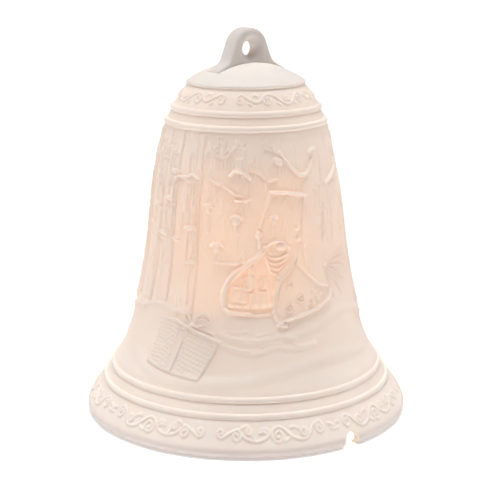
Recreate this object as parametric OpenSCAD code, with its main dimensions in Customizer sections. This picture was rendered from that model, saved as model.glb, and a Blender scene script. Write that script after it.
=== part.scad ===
// Christmas bell lamp: a pierced-lug porcelain bell that stands over a small corded lamp.
// Origin at the middle of the footprint, on the table. +Z up, +X towards the cord notch. Millimetres.

/* [Bell] */
// Largest radius of the rim
rim_r = 75; // [70:0.5:76]
// Radius where the flare turns into the body
waist_r = 47.8; // [46:0.2:50]
// Radius where the body meets the cap
shoulder_r = 26.4; // [25:0.1:28]
// Height of the edge of the cap
cap_z = 152.6; // [150:0.1:158]
// Rise of the cap's dome above its edge
dome_rise = 8.2; // [6:0.1:10]
// Wall of the porcelain
bell_wall = 3.2; // [2.6:0.1:3.6]
// Radius of the raised beads
bead_r = 1.1; // [0.6:0.1:1.4]
// Width of the cord notch in the rim
notch_w = 7.8; // [7.2:0.2:10]
// Height of the cord notch
notch_h = 6.8; // [6.2:0.2:8]

/* [Lug] */
// Thickness of the lug, along its hole
lug_t = 9; // [8:0.5:10]
// Radius of the rounded head of the lug
lug_head_r = 9.3; // [8.6:0.1:10]
// Height of the hole's axis above the table
lug_hole_z = 168; // [167:0.5:170]
// Radius of the hole at its throat
lug_hole_r = 3.3; // [2.6:0.1:3.6]
// Half width of the lug over its feet
lug_foot_r = 20; // [18:0.5:21]

/* [Lamp base] */
// Radius of the base
base_r = 46; // [44:0.5:48]
// Height of the top of the base
base_top_z = 18; // [17.5:0.5:20]
// Wall of the mouldings
base_wall = 2.2; // [1.8:0.1:2.4]
// Height of the rubber feet
foot_h = 2; // [1.5:0.25:2.5]
// Radius of the cord that the base takes
cord_r = 3; // [2.5:0.1:3.2]

/* [Lampholder and bulb] */
// Radius of the lampholder
holder_r = 14.5; // [14:0.25:16]
// Height of the lampholder's mouth
holder_top_z = 60; // [59:0.5:61]
// Radius of the bulb's glass
bulb_r = 12.5; // [11:0.25:13.5]
// Height of the top of the bulb
bulb_top_z = 98; // [95:0.5:102]

/* [Hidden] */
$fn = 96;
gap = 0.02;    // clearance between pieces that touch in one body
running = 0.07; // clearance between pieces that turn or slide
past = 1;      // how far a cutter runs past a face

// --- Bell outline, as [radius, height] points from the foot up -----------------------------------

lip_r = 3.6;
lip_turn = 35;
lip_centre = [rim_r - lip_r, lip_r];
foot_in_r = rim_r - 5.6;
waist_z = 70;
curve_steps = 18;
arc_steps = 6;

function on_arc(centre, r, a) = centre + r * [cos(a), sin(a)];
function arc(centre, r, from, to, steps = arc_steps) =
    [for (i = [0:steps]) on_arc(centre, r, from + (to - from) * i / steps)];
function bezier(c, t) =
    pow(1 - t, 3) * c[0] + 3 * t * pow(1 - t, 2) * c[1] + 3 * t * t * (1 - t) * c[2] + pow(t, 3) * c[3];
function bezier_slope(c, t) =
    pow(1 - t, 2) * (c[1] - c[0]) + 2 * t * (1 - t) * (c[2] - c[1]) + t * t * (c[3] - c[2]);
function inward(v) = [-v[1], v[0]] / norm(v);
// Points along a curve, moved inward by depth
function run(c, depth, from = 0, to = 1) = [
    for (i = [0:curve_steps])
        let (t = from + (to - from) * i / curve_steps)
            bezier(c, t) + depth * inward(bezier_slope(c, t))
];
function tail(points) = [for (i = [1:len(points) - 1]) points[i]];

// Two curves join at the waist. Each handle says which way, and how far, the outline leaves its point.
lip_top = on_arc(lip_centre, lip_r, lip_turn);
waist = [waist_r, waist_z];
shoulder = [shoulder_r, cap_z];
lip_handle = [-9.7, 13.85];
waist_down = [7.5, -42.2];
waist_up = [-5.1, 28.2];
shoulder_handle = [18.8, -22.2];
flare_curve = [lip_top, lip_top + lip_handle, waist + waist_down, waist];
body_curve = [waist, waist + waist_up, shoulder + shoulder_handle, shoulder];

cap_edge_r = 0.7;
cap_edge = [shoulder_r, cap_z + cap_edge_r];
cap_start = on_arc(cap_edge, cap_edge_r, 60);
apex_z = cap_start[1] + dome_rise;
dome_r = (pow(cap_start[0], 2) + pow(dome_rise, 2)) / (2 * dome_rise);
dome_centre = [0, apex_z - dome_r];

function dome_arc(r, start_r) = arc(dome_centre, r, acos(start_r / r), 90);

outer_line = concat(
    arc(lip_centre, lip_r, -90, lip_turn),
    tail(run(flare_curve, 0)),
    tail(run(body_curve, 0)),
    arc(cap_edge, cap_edge_r, -90, 60),
    tail(dome_arc(dome_r, cap_start[0]))
);
// The inside follows the outside at the wall's depth, from a little above the lip to under the dome
inner_start = 0.1;
inner_dome_r = shoulder_r - 5;
inner_line = concat(
    [[foot_in_r, 0]],
    run(flare_curve, bell_wall, inner_start, 1),
    tail(run(body_curve, bell_wall)),
    dome_arc(dome_r - bell_wall, inner_dome_r)
);

lower_beads = [16.7, 22.8];
upper_beads = [cap_z - 16.3, cap_z - 10.2];

function reversed(points) = [for (i = [len(points) - 1:-1:0]) points[i]];
function outer_r(z) = lookup(z, [for (p = outer_line) [p[1], p[0]]]);

// --- Bell ----------------------------------------------------------------------------------------

module bell_solid() {
    rotate_extrude() polygon(concat([[0, 0]], outer_line));
}

// The notch is an arch through the rim, on the +X side
module cord_notch() {
    arch_r = notch_w / 2;
    depth = 20;
    translate([rim_r + past - depth, 0, notch_h - arch_r]) {
        rotate([0, 90, 0]) cylinder(r = arch_r, h = depth);
        translate([0, -arch_r, -notch_h]) cube([depth, notch_w, notch_h]);
    }
}

module bell_shell() {
    color([0.93, 0.87, 0.83])
        difference() {
            union() {
                rotate_extrude() polygon(concat(reversed(inner_line), outer_line));
                for (z = concat(lower_beads, upper_beads))
                    translate([0, 0, z]) rotate_extrude() translate([outer_r(z), 0]) circle(r = bead_r);
            }
            cord_notch();
        }
}

// --- Lug: a tapered tab across the crown, in the YZ plane, with a dished hole along X --------------

// Height of the dome at a radius
function dome_z(r) = dome_centre[1] + sqrt(dome_r * dome_r - r * r);

lug_flank = 22; // lean of the straight flanks, in degrees
flank_length = 8;
foot_edge = 1.2;
lug_centre = [0, lug_hole_z];
down_flank = [sin(lug_flank), -cos(lug_flank)];
lug_knee = on_arc(lug_centre, lug_head_r, lug_flank) + flank_length * down_flank;
lug_foot = [lug_foot_r, dome_z(lug_foot_r) + foot_edge];
lug_flare = [lug_knee, lug_knee + 5 * down_flank, lug_foot + [-5, 1.6], lug_foot];

function mirrored(points) = [for (p = reversed(points)) [-p[0], p[1]]];

lug_half = concat(
    arc(lug_centre, lug_head_r, 90, lug_flank),
    run(lug_flare, 0),
    [[lug_foot_r, cap_z - 5]]
);

// Mouths of the hole open out along a quarter round on each face
throat_half = 1.5;
mouth_r = lug_t / 2 - throat_half;

module lug_hole_cutter() {
    rotate([0, 90, 0]) {
        cylinder(r = lug_hole_r, h = lug_t + 2 * past, center = true);
        for (side = [0, 1]) mirror([0, 0, side])
            rotate_extrude() polygon(concat(
                [[0, throat_half]],
                arc([lug_hole_r + mouth_r, throat_half], mouth_r, 180, 90),
                [[lug_hole_r + mouth_r, lug_t], [0, lug_t]]
            ));
    }
}

module hanging_lug() {
    color([0.90, 0.87, 0.84])
        difference() {
            rotate([90, 0, 90]) linear_extrude(height = lug_t, center = true)
                polygon(concat(mirrored(lug_half), lug_half));
            translate([0, 0, gap]) bell_solid();
            translate([0, 0, lug_hole_z]) lug_hole_cutter();
        }
}

// --- Lamp base -----------------------------------------------------------------------------------

base_edge_r = 4;
cover_t = 2;
cover_top_z = foot_h + cover_t;
cover_r = base_r - base_wall - 0.2;
inside_top_z = base_top_z - base_wall;
screw_r = 1.5;
head_r = 2.8;
head_h = 1.6;
cover_screw_ring = 34;
cover_screw_turn = [60, 180, 300];
boss_r = 3.6;
clamp_boss_r = 2.9;
nipple_boss_r = 7.5;
boss_under_z = inside_top_z - 1;
clamp_x = 30;
clamp_y = 8;
clamp_t = 2.5;
clamp_z = cover_top_z + 0.5;
cord_z = clamp_z + clamp_t + cord_r;
nipple_r = 5;
nipple_bore_r = 3.6;
washer_t = 1;
nut_t = 3;
bush_r = cord_r + 1.6;
bush_flange_r = bush_r + 1.2;
bush_flange_t = 1.2;
feet_ring = 38;
feet_turn = [0, 120, 240];
pad_r = 4;

module cylinder_between(r, low, high) {
    translate([0, 0, low]) cylinder(r = r, h = high - low);
}

module at_turns(turns, ring) {
    for (a = turns) rotate([0, 0, a]) translate([ring, 0, 0]) children();
}

// A countersunk screw, head down, from z = 0 up
module countersunk(length) {
    cylinder(r1 = head_r, r2 = screw_r, h = head_h);
    cylinder(r = screw_r, h = length);
}

module countersink(depth) {
    translate([0, 0, -gap]) cylinder(r1 = head_r + 2 * gap, r2 = screw_r + gap, h = head_h + gap);
    translate([0, 0, -past]) cylinder(r = screw_r + gap, h = depth + past);
}

module base_housing() {
    color("ivory")
        difference() {
            union() {
                difference() {
                    rotate_extrude() polygon(concat(
                        [[0, foot_h], [base_r, foot_h]],
                        arc([base_r - base_edge_r, base_top_z - base_edge_r], base_edge_r, 0, 90),
                        [[0, base_top_z]]
                    ));
                    translate([0, 0, foot_h - past])
                        cylinder(r = base_r - base_wall, h = inside_top_z - foot_h + past);
                }
                at_turns(cover_screw_turn, cover_screw_ring) translate([0, 0, cover_top_z])
                    cylinder(r = boss_r, h = inside_top_z - cover_top_z + past);
                for (side = [-1, 1]) translate([clamp_x, side * clamp_y, clamp_z + clamp_t])
                    cylinder(r = clamp_boss_r, h = inside_top_z - clamp_z - clamp_t + past);
                cylinder_between(nipple_boss_r, boss_under_z, base_top_z);
            }
            cylinder_between(nipple_r + gap, foot_h, base_top_z + past);
            at_turns(cover_screw_turn, cover_screw_ring)
                cylinder_between(screw_r + gap, foot_h, boss_under_z);
            for (side = [-1, 1]) translate([clamp_x, side * clamp_y, 0])
                cylinder_between(screw_r + gap, foot_h, boss_under_z);
            translate([base_r - 2 * base_wall, 0, cord_z]) rotate([0, 90, 0])
                cylinder(r = bush_r + gap, h = 3 * base_wall);
        }
}

module base_cover() {
    color("ivory")
        difference() {
            cylinder_between(cover_r, foot_h, cover_top_z - gap);
            at_turns(cover_screw_turn, cover_screw_ring)
                translate([0, 0, foot_h]) countersink(cover_t);
            at_turns(feet_turn, feet_ring)
                cylinder_between(pad_r + gap, foot_h - past, foot_h + cover_t / 2);
        }
}

module cover_screws() {
    color("silver")
        at_turns(cover_screw_turn, cover_screw_ring)
            translate([0, 0, foot_h]) countersunk(inside_top_z - foot_h - 2);
}

module rubber_feet() {
    color([0.2, 0.2, 0.2])
        at_turns(feet_turn, feet_ring) cylinder_between(pad_r, 0, foot_h + cover_t / 2 - gap);
}

// Grommet for the cord, with a flange on each side of the wall
module cord_bush() {
    outer_x = sqrt(base_r * base_r - bush_flange_r * bush_flange_r);
    wall_out_x = base_r + 0.05;
    wall_in_x = outer_x - base_wall - 0.5;
    color([0.25, 0.25, 0.25])
        translate([0, 0, cord_z]) rotate([0, 90, 0])
            difference() {
                union() {
                    cylinder_between(bush_r, wall_in_x - bush_flange_t, wall_out_x + bush_flange_t);
                    cylinder_between(bush_flange_r, wall_in_x - bush_flange_t, wall_in_x);
                    cylinder_between(bush_flange_r, wall_out_x, wall_out_x + bush_flange_t);
                }
                cylinder_between(cord_r + 0.2, 0, base_r + 10);
            }
}

// Strain-relief bar that presses the cord up against the housing
module cord_clamp() {
    color("ivory")
        difference() {
            union() {
                translate([clamp_x - 3.5, -clamp_y, clamp_z]) cube([7, 2 * clamp_y, clamp_t - gap]);
                for (side = [-1, 1]) translate([clamp_x, side * clamp_y, 0])
                    cylinder_between(3.5, clamp_z, clamp_z + clamp_t - gap);
            }
            for (side = [-1, 1]) translate([clamp_x, side * clamp_y, clamp_z]) countersink(clamp_t);
        }
}

module clamp_screws() {
    color("silver")
        for (side = [-1, 1])
            translate([clamp_x, side * clamp_y, clamp_z]) countersunk(inside_top_z - clamp_z - 2);
}

// --- Lampholder ----------------------------------------------------------------------------------

nut_z = boss_under_z - washer_t - nut_t;
nut_flats = 16;
nipple_top_z = base_top_z + 7;
grub_z = base_top_z + 4;
grub_length = 4.5;
slot_w = 0.6;
washer_r = 9;
spigot_z = 34;
cap_top_z = 38;
spigot_r = 12.9;
holder_wall = 1.6;
carrier_r = spigot_r - holder_wall - 0.1;
carrier_z = 28;
carrier_floor_z = 38;
shell_z = 41;
collar_top_z = 45;
collar_t = 2.2;
contact_well_r = 6.2;
terminal_y = 6;
terminal_r = 1.9;
terminal_top_z = 35;
lamp_cap_r = 6.95;
shell_t = 0.5;
shell_r = lamp_cap_r + running + shell_t;
shell_top_z = holder_top_z - 2;
tip_z = 40.6;

module nipple() {
    color("goldenrod")
        difference() {
            cylinder_between(nipple_r, nut_z - 2, nipple_top_z);
            cylinder_between(nipple_bore_r, 0, nipple_top_z + past);
        }
}

module nipple_washer() {
    color("silver")
        difference() {
            cylinder_between(washer_r, boss_under_z - washer_t + gap, boss_under_z - gap);
            cylinder_between(nipple_r + gap, 0, base_top_z);
        }
}

module nipple_nut() {
    color("goldenrod")
        difference() {
            translate([0, 0, nut_z]) cylinder(d = nut_flats / cos(30), h = nut_t, $fn = 6);
            cylinder_between(nipple_r + gap, 0, base_top_z);
        }
}

// Lower half of the lampholder, threaded on the nipple
module holder_cap() {
    neck_r = 8.5;
    curve_r = 6;
    color([0.93, 0.92, 0.88])
        difference() {
            rotate_extrude() polygon(concat(
                [[nipple_r + gap, base_top_z + gap], [neck_r, base_top_z + gap], [neck_r, grub_z - 1]],
                arc([holder_r - curve_r, carrier_z + 1], curve_r, -60, 0),
                [
                    [holder_r, spigot_z - gap], [spigot_r, spigot_z - gap], [spigot_r, cap_top_z],
                    [spigot_r - holder_wall, cap_top_z], [spigot_r - holder_wall, carrier_z],
                    [nipple_r + gap, nipple_top_z + gap]
                ]
            ));
            translate([0, 0, grub_z]) rotate([0, -90, 0]) cylinder(r = screw_r + gap, h = holder_r + past);
        }
}

module grub_screw() {
    color("silver")
        translate([-nipple_r - gap, 0, grub_z]) rotate([0, -90, 0])
            difference() {
                cylinder(r = screw_r, h = grub_length);
                translate([-screw_r * 2, -slot_w / 2, grub_length - 0.9])
                    cube([screw_r * 4, slot_w, past * 2]);
            }
}

// Upper half of the lampholder, screwed over the spigot of the lower half
module holder_skirt() {
    lip_z = holder_top_z - 3;
    mouth_r = shell_r + 1.9;
    sleeve_r = holder_r - 1.2;
    bore_r = spigot_r - holder_wall;
    color([0.93, 0.92, 0.88])
        rotate_extrude() polygon([
            [spigot_r + gap, spigot_z + gap], [holder_r, spigot_z + gap], [holder_r, spigot_z + 8],
            [sleeve_r, spigot_z + 10], [sleeve_r, lip_z], [sleeve_r - 0.8, holder_top_z],
            [mouth_r, holder_top_z], [mouth_r, lip_z], [bore_r, lip_z - 2],
            [bore_r, cap_top_z + 2], [spigot_r + gap, cap_top_z + gap]
        ]);
}

// Insulating insert that holds the contacts
module contact_carrier() {
    color("white")
        difference() {
            union() {
                cylinder_between(carrier_r, carrier_z + gap, carrier_floor_z);
                cylinder_between(shell_r + collar_t, carrier_floor_z - past, collar_top_z);
            }
            cylinder_between(contact_well_r, carrier_floor_z, shell_z);
            cylinder_between(shell_r + gap, shell_z - gap, collar_top_z + past);
            for (side = [-1, 1]) translate([0, side * terminal_y, 0])
                cylinder_between(terminal_r + 0.1, carrier_z - past, terminal_top_z);
        }
}

module screw_shell() {
    color("goldenrod")
        difference() {
            cylinder_between(shell_r, shell_z, shell_top_z);
            cylinder_between(lamp_cap_r + running, 0, shell_top_z + past);
        }
}

// Leaf spring bent up from the carrier's floor to the middle
module centre_contact() {
    leaf_t = 0.4;
    low = carrier_floor_z + gap;
    high = tip_z - 0.1;
    color("goldenrod")
        translate([0, 2, 0]) rotate([90, 0, 0]) linear_extrude(height = 4)
            polygon([
                [-5.5, low], [-2.6, low], [-1.4, high - leaf_t], [1.6, high - leaf_t],
                [1.6, high], [-1.7, high], [-2.9, low + leaf_t], [-5.5, low + leaf_t]
            ]);
}

module terminal_screws() {
    color("silver")
        for (side = [-1, 1]) translate([0, side * terminal_y, 0])
            difference() {
                cylinder_between(terminal_r, carrier_z + 1, terminal_top_z - gap);
                translate([-screw_r * 2, -slot_w / 2, carrier_z]) cube([screw_r * 4, slot_w, 1.8]);
            }
}

// --- Bulb: everything is round about Z, except the wires and the filament ---------------------------

insulator_z = tip_z + 1.3;
lamp_cap_z = insulator_z + 3;
lamp_cap_top_z = holder_top_z + 0.5;
cap_t = 0.3;
glass_t = 0.7;
neck_z = lamp_cap_top_z + 3;
belly_z = 74;
filament_z = 82;
wire_r = 0.3;
post_x = 5;

module bulb_tip() {
    color("silver")
        rotate_extrude() polygon(concat(
            [[0, insulator_z - 0.05]],
            [[0, tip_z], [1.2, tip_z], [2, tip_z + 0.6], [2, insulator_z - 0.05]]
        ));
}

module bulb_insulator() {
    color([0.12, 0.12, 0.14])
        rotate_extrude() polygon([
            [0, insulator_z], [3.2, insulator_z],
            [lamp_cap_r - cap_t - gap, lamp_cap_z], [lamp_cap_r - cap_t - gap, lamp_cap_z + 1.5],
            [0, lamp_cap_z + 1.5]
        ]);
}

module bulb_cap() {
    color("silver")
        rotate_extrude() polygon([
            [lamp_cap_r - cap_t, lamp_cap_z], [lamp_cap_r, lamp_cap_z],
            [lamp_cap_r, lamp_cap_top_z - 2.2], [7.6, lamp_cap_top_z],
            [7.6 - cap_t, lamp_cap_top_z], [lamp_cap_r - cap_t, lamp_cap_top_z - 2.2]
        ]);
}

glass_top = [0, bulb_top_z - bulb_r];
function glass_line(inset) = concat(
    [[6.4 - inset, lamp_cap_top_z - 6], [6.4 - inset, lamp_cap_top_z - 1], [7.2 - inset, neck_z - 2]],
    arc([bulb_r - inset - 10, belly_z], 10, -38, 0),
    arc(glass_top, bulb_r - inset, 0, 90, 10)
);

module bulb_glass() {
    color([1, 0.97, 0.9, 0.5])
        rotate_extrude() polygon(concat(glass_line(0), reversed(glass_line(glass_t))));
}

// Flared glass foot, sealed into the neck, with the rod that carries the wires
module bulb_stem() {
    foot_z = lamp_cap_top_z - 5.9;
    color([0.85, 0.9, 0.9, 0.6])
        rotate_extrude() polygon([
            [0, foot_z], [6.4 - glass_t - gap, foot_z], [6.4 - glass_t - gap, foot_z + 0.8],
            [2.4, foot_z + 5], [2, filament_z - 14], [0, filament_z - 13]
        ]);
}

// Two wires spread from the rod to the ends of the filament
module lead_wires() {
    root = [2.4, 0, filament_z - 15];
    spread = [post_x, 0, filament_z - wire_r - 0.1] - root;
    color("silver")
        for (side = [0, 1]) mirror([side, 0, 0])
            translate(root) rotate([0, atan2(spread[0], spread[2]), 0])
                cylinder(r = wire_r, h = norm(spread));
}

// The coil is a plain rod, bent up in the middle
module filament() {
    lean = 75;
    color("orange")
        for (side = [0, 1]) mirror([side, 0, 0])
            translate([post_x, 0, filament_z]) rotate([0, -lean, 0])
                cylinder(r = wire_r, h = post_x / sin(lean));
}

bell_shell();
hanging_lug();
base_housing();
base_cover();
cover_screws();
rubber_feet();
cord_bush();
cord_clamp();
clamp_screws();
nipple();
nipple_washer();
nipple_nut();
holder_cap();
holder_skirt();
grub_screw();
contact_carrier();
screw_shell();
centre_contact();
terminal_screws();
bulb_tip();
bulb_cap();
bulb_insulator();
bulb_glass();
bulb_stem();
lead_wires();
filament();
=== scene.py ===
"""Looks of the bell lamp: an unglazed porcelain bell, carved with a winter scene and lit from inside.

Lengths are millimetres until a mesh is made, and metres from then on. Places on the bell are written
(turn, height): degrees round from the scene's front, towards the cord notch, and height above the table.
"""

import math
from itertools import groupby

import bmesh
import bpy
import numpy as np
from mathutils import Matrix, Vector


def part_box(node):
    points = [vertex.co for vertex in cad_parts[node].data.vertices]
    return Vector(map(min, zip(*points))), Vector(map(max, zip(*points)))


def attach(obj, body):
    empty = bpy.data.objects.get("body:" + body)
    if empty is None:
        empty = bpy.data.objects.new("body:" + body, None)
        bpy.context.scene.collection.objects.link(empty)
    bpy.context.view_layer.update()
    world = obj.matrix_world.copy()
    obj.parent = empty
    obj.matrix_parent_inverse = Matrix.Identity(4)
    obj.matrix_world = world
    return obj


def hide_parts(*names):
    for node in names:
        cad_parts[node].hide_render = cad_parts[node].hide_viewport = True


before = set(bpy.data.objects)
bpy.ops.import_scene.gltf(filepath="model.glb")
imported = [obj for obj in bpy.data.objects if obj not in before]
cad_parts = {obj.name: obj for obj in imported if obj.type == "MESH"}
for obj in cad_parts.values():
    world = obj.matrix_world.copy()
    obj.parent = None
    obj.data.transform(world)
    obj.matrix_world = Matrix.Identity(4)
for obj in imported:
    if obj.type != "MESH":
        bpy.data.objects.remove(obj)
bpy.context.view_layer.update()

MM = 0.001
FRONT = -38.5  # degrees round from the frame's +X, where the cord notch is, to the scene's front
GLOW_CENTRE = (0.0, 0.0, 0.081)  # the filament, in metres
rng = np.random.default_rng(12)

# --- Outline of the bell ---

_, RIM_R, APEX_Z = (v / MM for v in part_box("bell_shell")[1])
LIP_R, LIP_TURN = 3.6, 35
WAIST = np.array([47.8, 70.0])  # radius and height
SHOULDER = np.array([26.4, 152.6])
CAP_EDGE_R = 0.7
WALL = 3.2
FOOT_IN_R = RIM_R - 5.6
BEADS = (16.7, 22.8, 136.3, 142.4)  # heights of the four bead rings
BEAD_HALF, BEAD_HEIGHT = 1.35, 1.05
SCENE_LOW, SCENE_HIGH = 26, 134.5  # heights between which the scene is carved
TREE_TOP = 134
SINK = 0.6  # how far the scene's ground lies below the rest of the bell
LINE_DEPTH, GROUND_DEPTH = 1.75, 1.3  # how much deeper the scene is carved than it is drawn
GIFT_PRESS = 0.68  # the gift is carved shallower than the rest


def arc(centre, r, start, end, steps=60):
    """Points round a centre, from one angle to another in degrees."""
    a = np.radians(np.linspace(start, end, steps + 1))
    return np.column_stack([centre[0] + r * np.cos(a), centre[1] + r * np.sin(a)])


def bezier(points, steps=400):
    """A cubic curve from its four control points."""
    t = np.linspace(0, 1, steps + 1)[:, None]
    p0, p1, p2, p3 = (np.asarray(p, float) for p in points)
    return (1 - t) ** 3 * p0 + 3 * t * (1 - t) ** 2 * p1 + 3 * t * t * (1 - t) * p2 + t**3 * p3


def dome(r, start_r):
    """Cap of a sphere under the apex, from start_r to the axis."""
    start = math.degrees(math.acos(start_r / r))
    return arc((0, DOME_Z), r, start, 90)


lip_centre = np.array([RIM_R - LIP_R, LIP_R])
lip_top = arc(lip_centre, LIP_R, 0, LIP_TURN)[-1]
cap_centre = SHOULDER + (0, CAP_EDGE_R)
cap_start = arc(cap_centre, CAP_EDGE_R, -90, 60)[-1]
DOME_RISE = APEX_Z - cap_start[1]
DOME_R = (cap_start[0] ** 2 + DOME_RISE**2) / (2 * DOME_RISE)
DOME_Z = APEX_Z - DOME_R

flare = bezier([lip_top, lip_top + (-9.7, 13.85), WAIST + (7.5, -42.2), WAIST])
body = bezier([WAIST, WAIST + (-5.1, 28.2), SHOULDER + (18.8, -22.2), SHOULDER])


class Line:
    """A dense line of (r, z) points, read by its length s."""

    def __init__(self, *parts):
        points = np.vstack(parts)
        keep = np.r_[True, np.linalg.norm(np.diff(points, axis=0), axis=1) > 1e-6]
        self.points = points[keep]
        self.s = np.r_[0, np.cumsum(np.linalg.norm(np.diff(self.points, axis=0), axis=1))]
        along = np.gradient(self.points, self.s, axis=0)
        self.normal = np.column_stack([along[:, 1], -along[:, 0]])
        self.normal /= np.linalg.norm(self.normal, axis=1)[:, None]

    def at(self, s):
        return np.column_stack([np.interp(s, self.s, self.points[:, k]) for k in (0, 1)])

    def normal_at(self, s):
        return np.column_stack([np.interp(s, self.s, self.normal[:, k]) for k in (0, 1)])

    def s_of(self, z):
        return np.interp(z, self.points[:, 1], self.s)


outer = Line(
    arc(lip_centre, LIP_R, -90, LIP_TURN), flare, body,
    arc(cap_centre, CAP_EDGE_R, -90, 60), dome(DOME_R, cap_start[0]),
)


def offset(points, depth):
    """The line of points moved inwards."""
    along = np.gradient(points, axis=0)
    inward = np.column_stack([-along[:, 1], along[:, 0]])
    return points + depth * inward / np.linalg.norm(inward, axis=1)[:, None]


inner = Line(
    dome(DOME_R - WALL, SHOULDER[0] - 5)[::-1], offset(body, WALL)[::-1],
    offset(flare, WALL)[40:][::-1], arc((FOOT_IN_R - 1.2, 3.4), 3.6, 25, -70),
)

# --- Relief: a height over the outer surface ---


def smooth(points, step=0.12):
    """A curve through the points (Catmull-Rom)."""
    p = np.asarray(points, float)
    if len(p) < 3:
        return p
    p = np.vstack([2 * p[0] - p[1], p, 2 * p[-1] - p[-2]])
    t = np.arange(0, 1, step)[:, None]
    spans = [
        0.5 * (2 * b + (c - a) * t + (2 * a - 5 * b + 4 * c - d) * t**2 + (3 * b - a - 3 * c + d) * t**3)
        for a, b, c, d in zip(p, p[1:], p[2:], p[3:])
    ]
    return np.vstack([*spans, p[-2]])


def wrap(degrees):
    """The same turn between -180 and 180."""
    return (degrees + 180) % 360 - 180


class Relief:
    """Heights over the outer surface: ground for broad forms, and lines for what is drawn on them."""

    def __init__(self, turn, s):
        self.turn, self.s = turn, s
        self.mm_per_degree = outer.at(s)[:, 0] * math.pi / 180
        self.pen = 0.72  # how wide a line is drawn, as a share of the width asked for
        self.press = 1.0  # how high a line or lump is drawn, in the same way
        self.ground = np.zeros(len(s))
        self.lines = np.zeros(len(s))

    def near(self, points, reach):
        """The surface points within reach of these places, and both in mm from the first place."""
        p = np.asarray(points, float)
        middle = (p[:, 0].min() + p[:, 0].max()) / 2
        s = outer.s_of(p[:, 1])
        scale = max(outer.at(s)[:, 0].min() * math.pi / 180 * 0.8, 0.2)
        wide = (np.ptp(p[:, 0])) / 2 + reach / scale
        here = (self.s > s.min() - reach) & (self.s < s.max() + reach)
        here &= np.abs(wrap(self.turn - middle)) < wide
        index = np.flatnonzero(here)
        scale = self.mm_per_degree[index][:, None]
        x = wrap(self.turn[index] - middle)[:, None] * scale
        px = (p[:, 0] - middle)[None, :] * scale
        return index, x, self.s[index][:, None], px, s[None, :]

    def distance(self, points, reach):
        """The surface points within reach of a line through these places, and how far each is from it."""
        index, x, y, px, py = self.near(points, reach)
        if len(points) == 1:
            return index, np.hypot(x - px, y - py)[:, 0]
        ax, bx, ay, by = px[:, :-1], px[:, 1:], py[:, :-1], py[:, 1:]
        dx, dy = bx - ax, by - ay
        t = np.clip(((x - ax) * dx + (y - ay) * dy) / (dx * dx + dy * dy + 1e-9), 0, 1)
        return index, np.hypot(x - ax - t * dx, y - ay - t * dy).min(axis=1)

    def line(self, points, width, height, straight=False):
        """A rounded ridge. width is from side to side."""
        half = width / 2 * self.pen
        index, d = self.distance(points if straight else smooth(points), half)
        h = self.press * height * np.sqrt(np.clip(1 - (d / half) ** 2, 0, 1))
        self.lines[index] = np.maximum(self.lines[index], h)

    def draw(self, *strokes, straight=False):
        """Several ridges: the points, width and height of each."""
        for points, width, height in strokes:
            self.line(points, width, height, straight)

    def swell(self, points, width, height):
        """A broad soft ridge in the ground."""
        half = width / 2
        index, d = self.distance(smooth(points), half)
        self.ground[index] += height * 0.5 * (1 + np.cos(math.pi * np.clip(d / half, 0, 1)))

    def cut(self, points, width, depth):
        """A groove."""
        half = width / 2
        index, d = self.distance(smooth(points), half)
        self.lines[index] -= depth * np.clip(1 - (d / half) ** 2, 0, 1)

    def mound(self, place, size, height, lean=0.0):
        """A rounded lump, size across and up, leaning by some degrees."""
        reach = max(size)
        index, x, y, px, py = self.near([place], reach)
        c, s = math.cos(math.radians(lean)), math.sin(math.radians(lean))
        u, v = (x - px)[:, 0], (y - py)[:, 0]
        d = ((c * u + s * v) / (size[0] / 2)) ** 2 + ((c * v - s * u) / (size[1] / 2)) ** 2
        h = self.press * height * np.sqrt(np.clip(1 - d, 0, 1))
        self.lines[index] = np.maximum(self.lines[index], h)

    def plate(self, corners, height, edge=0.8):
        """A flat raised shape with soft edges."""
        ring = [*corners, corners[0]]
        index, d = self.distance(ring, edge)
        _, x, y, px, py = self.near(ring, edge)
        ax, bx, ay, by = px[:, :-1], px[:, 1:], py[:, :-1], py[:, 1:]
        rise = np.where(by == ay, 1e-9, by - ay)
        crosses = ((ay > y) != (by > y)) & (x < (bx - ax) * (y - ay) / rise + ax)
        inside = crosses.sum(axis=1) % 2 == 1
        signed = np.where(inside, d, -d)
        t = np.clip(signed / edge + 0.5, 0, 1)
        self.ground[index] += height * t * t * (3 - 2 * t)


def local(turn, z):
    """Turns (x, y) in mm about a place into (turn, height)."""
    per_mm = 180 / math.pi / outer.at(outer.s_of([z]))[0, 0]
    return lambda x, y: (turn + x * per_mm, z + y)


def oblong(to, left, right, low, high):
    """The corners of a rectangle about a place."""
    return [to(left, low), to(right, low), to(right, high), to(left, high)]


def spiral(centre, r, start, turns, inner_r, steps=22):
    """Points from radius r in to inner_r, anticlockwise for positive turns."""
    t = np.linspace(0, 1, steps)
    a = np.radians(start) + t * turns * 2 * math.pi
    rr = r + (inner_r - r) * t**0.9
    return np.column_stack([centre[0] + rr * np.cos(a), centre[1] + rr * np.sin(a)])


# --- Friezes: running scrolls with buds ---


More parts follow.
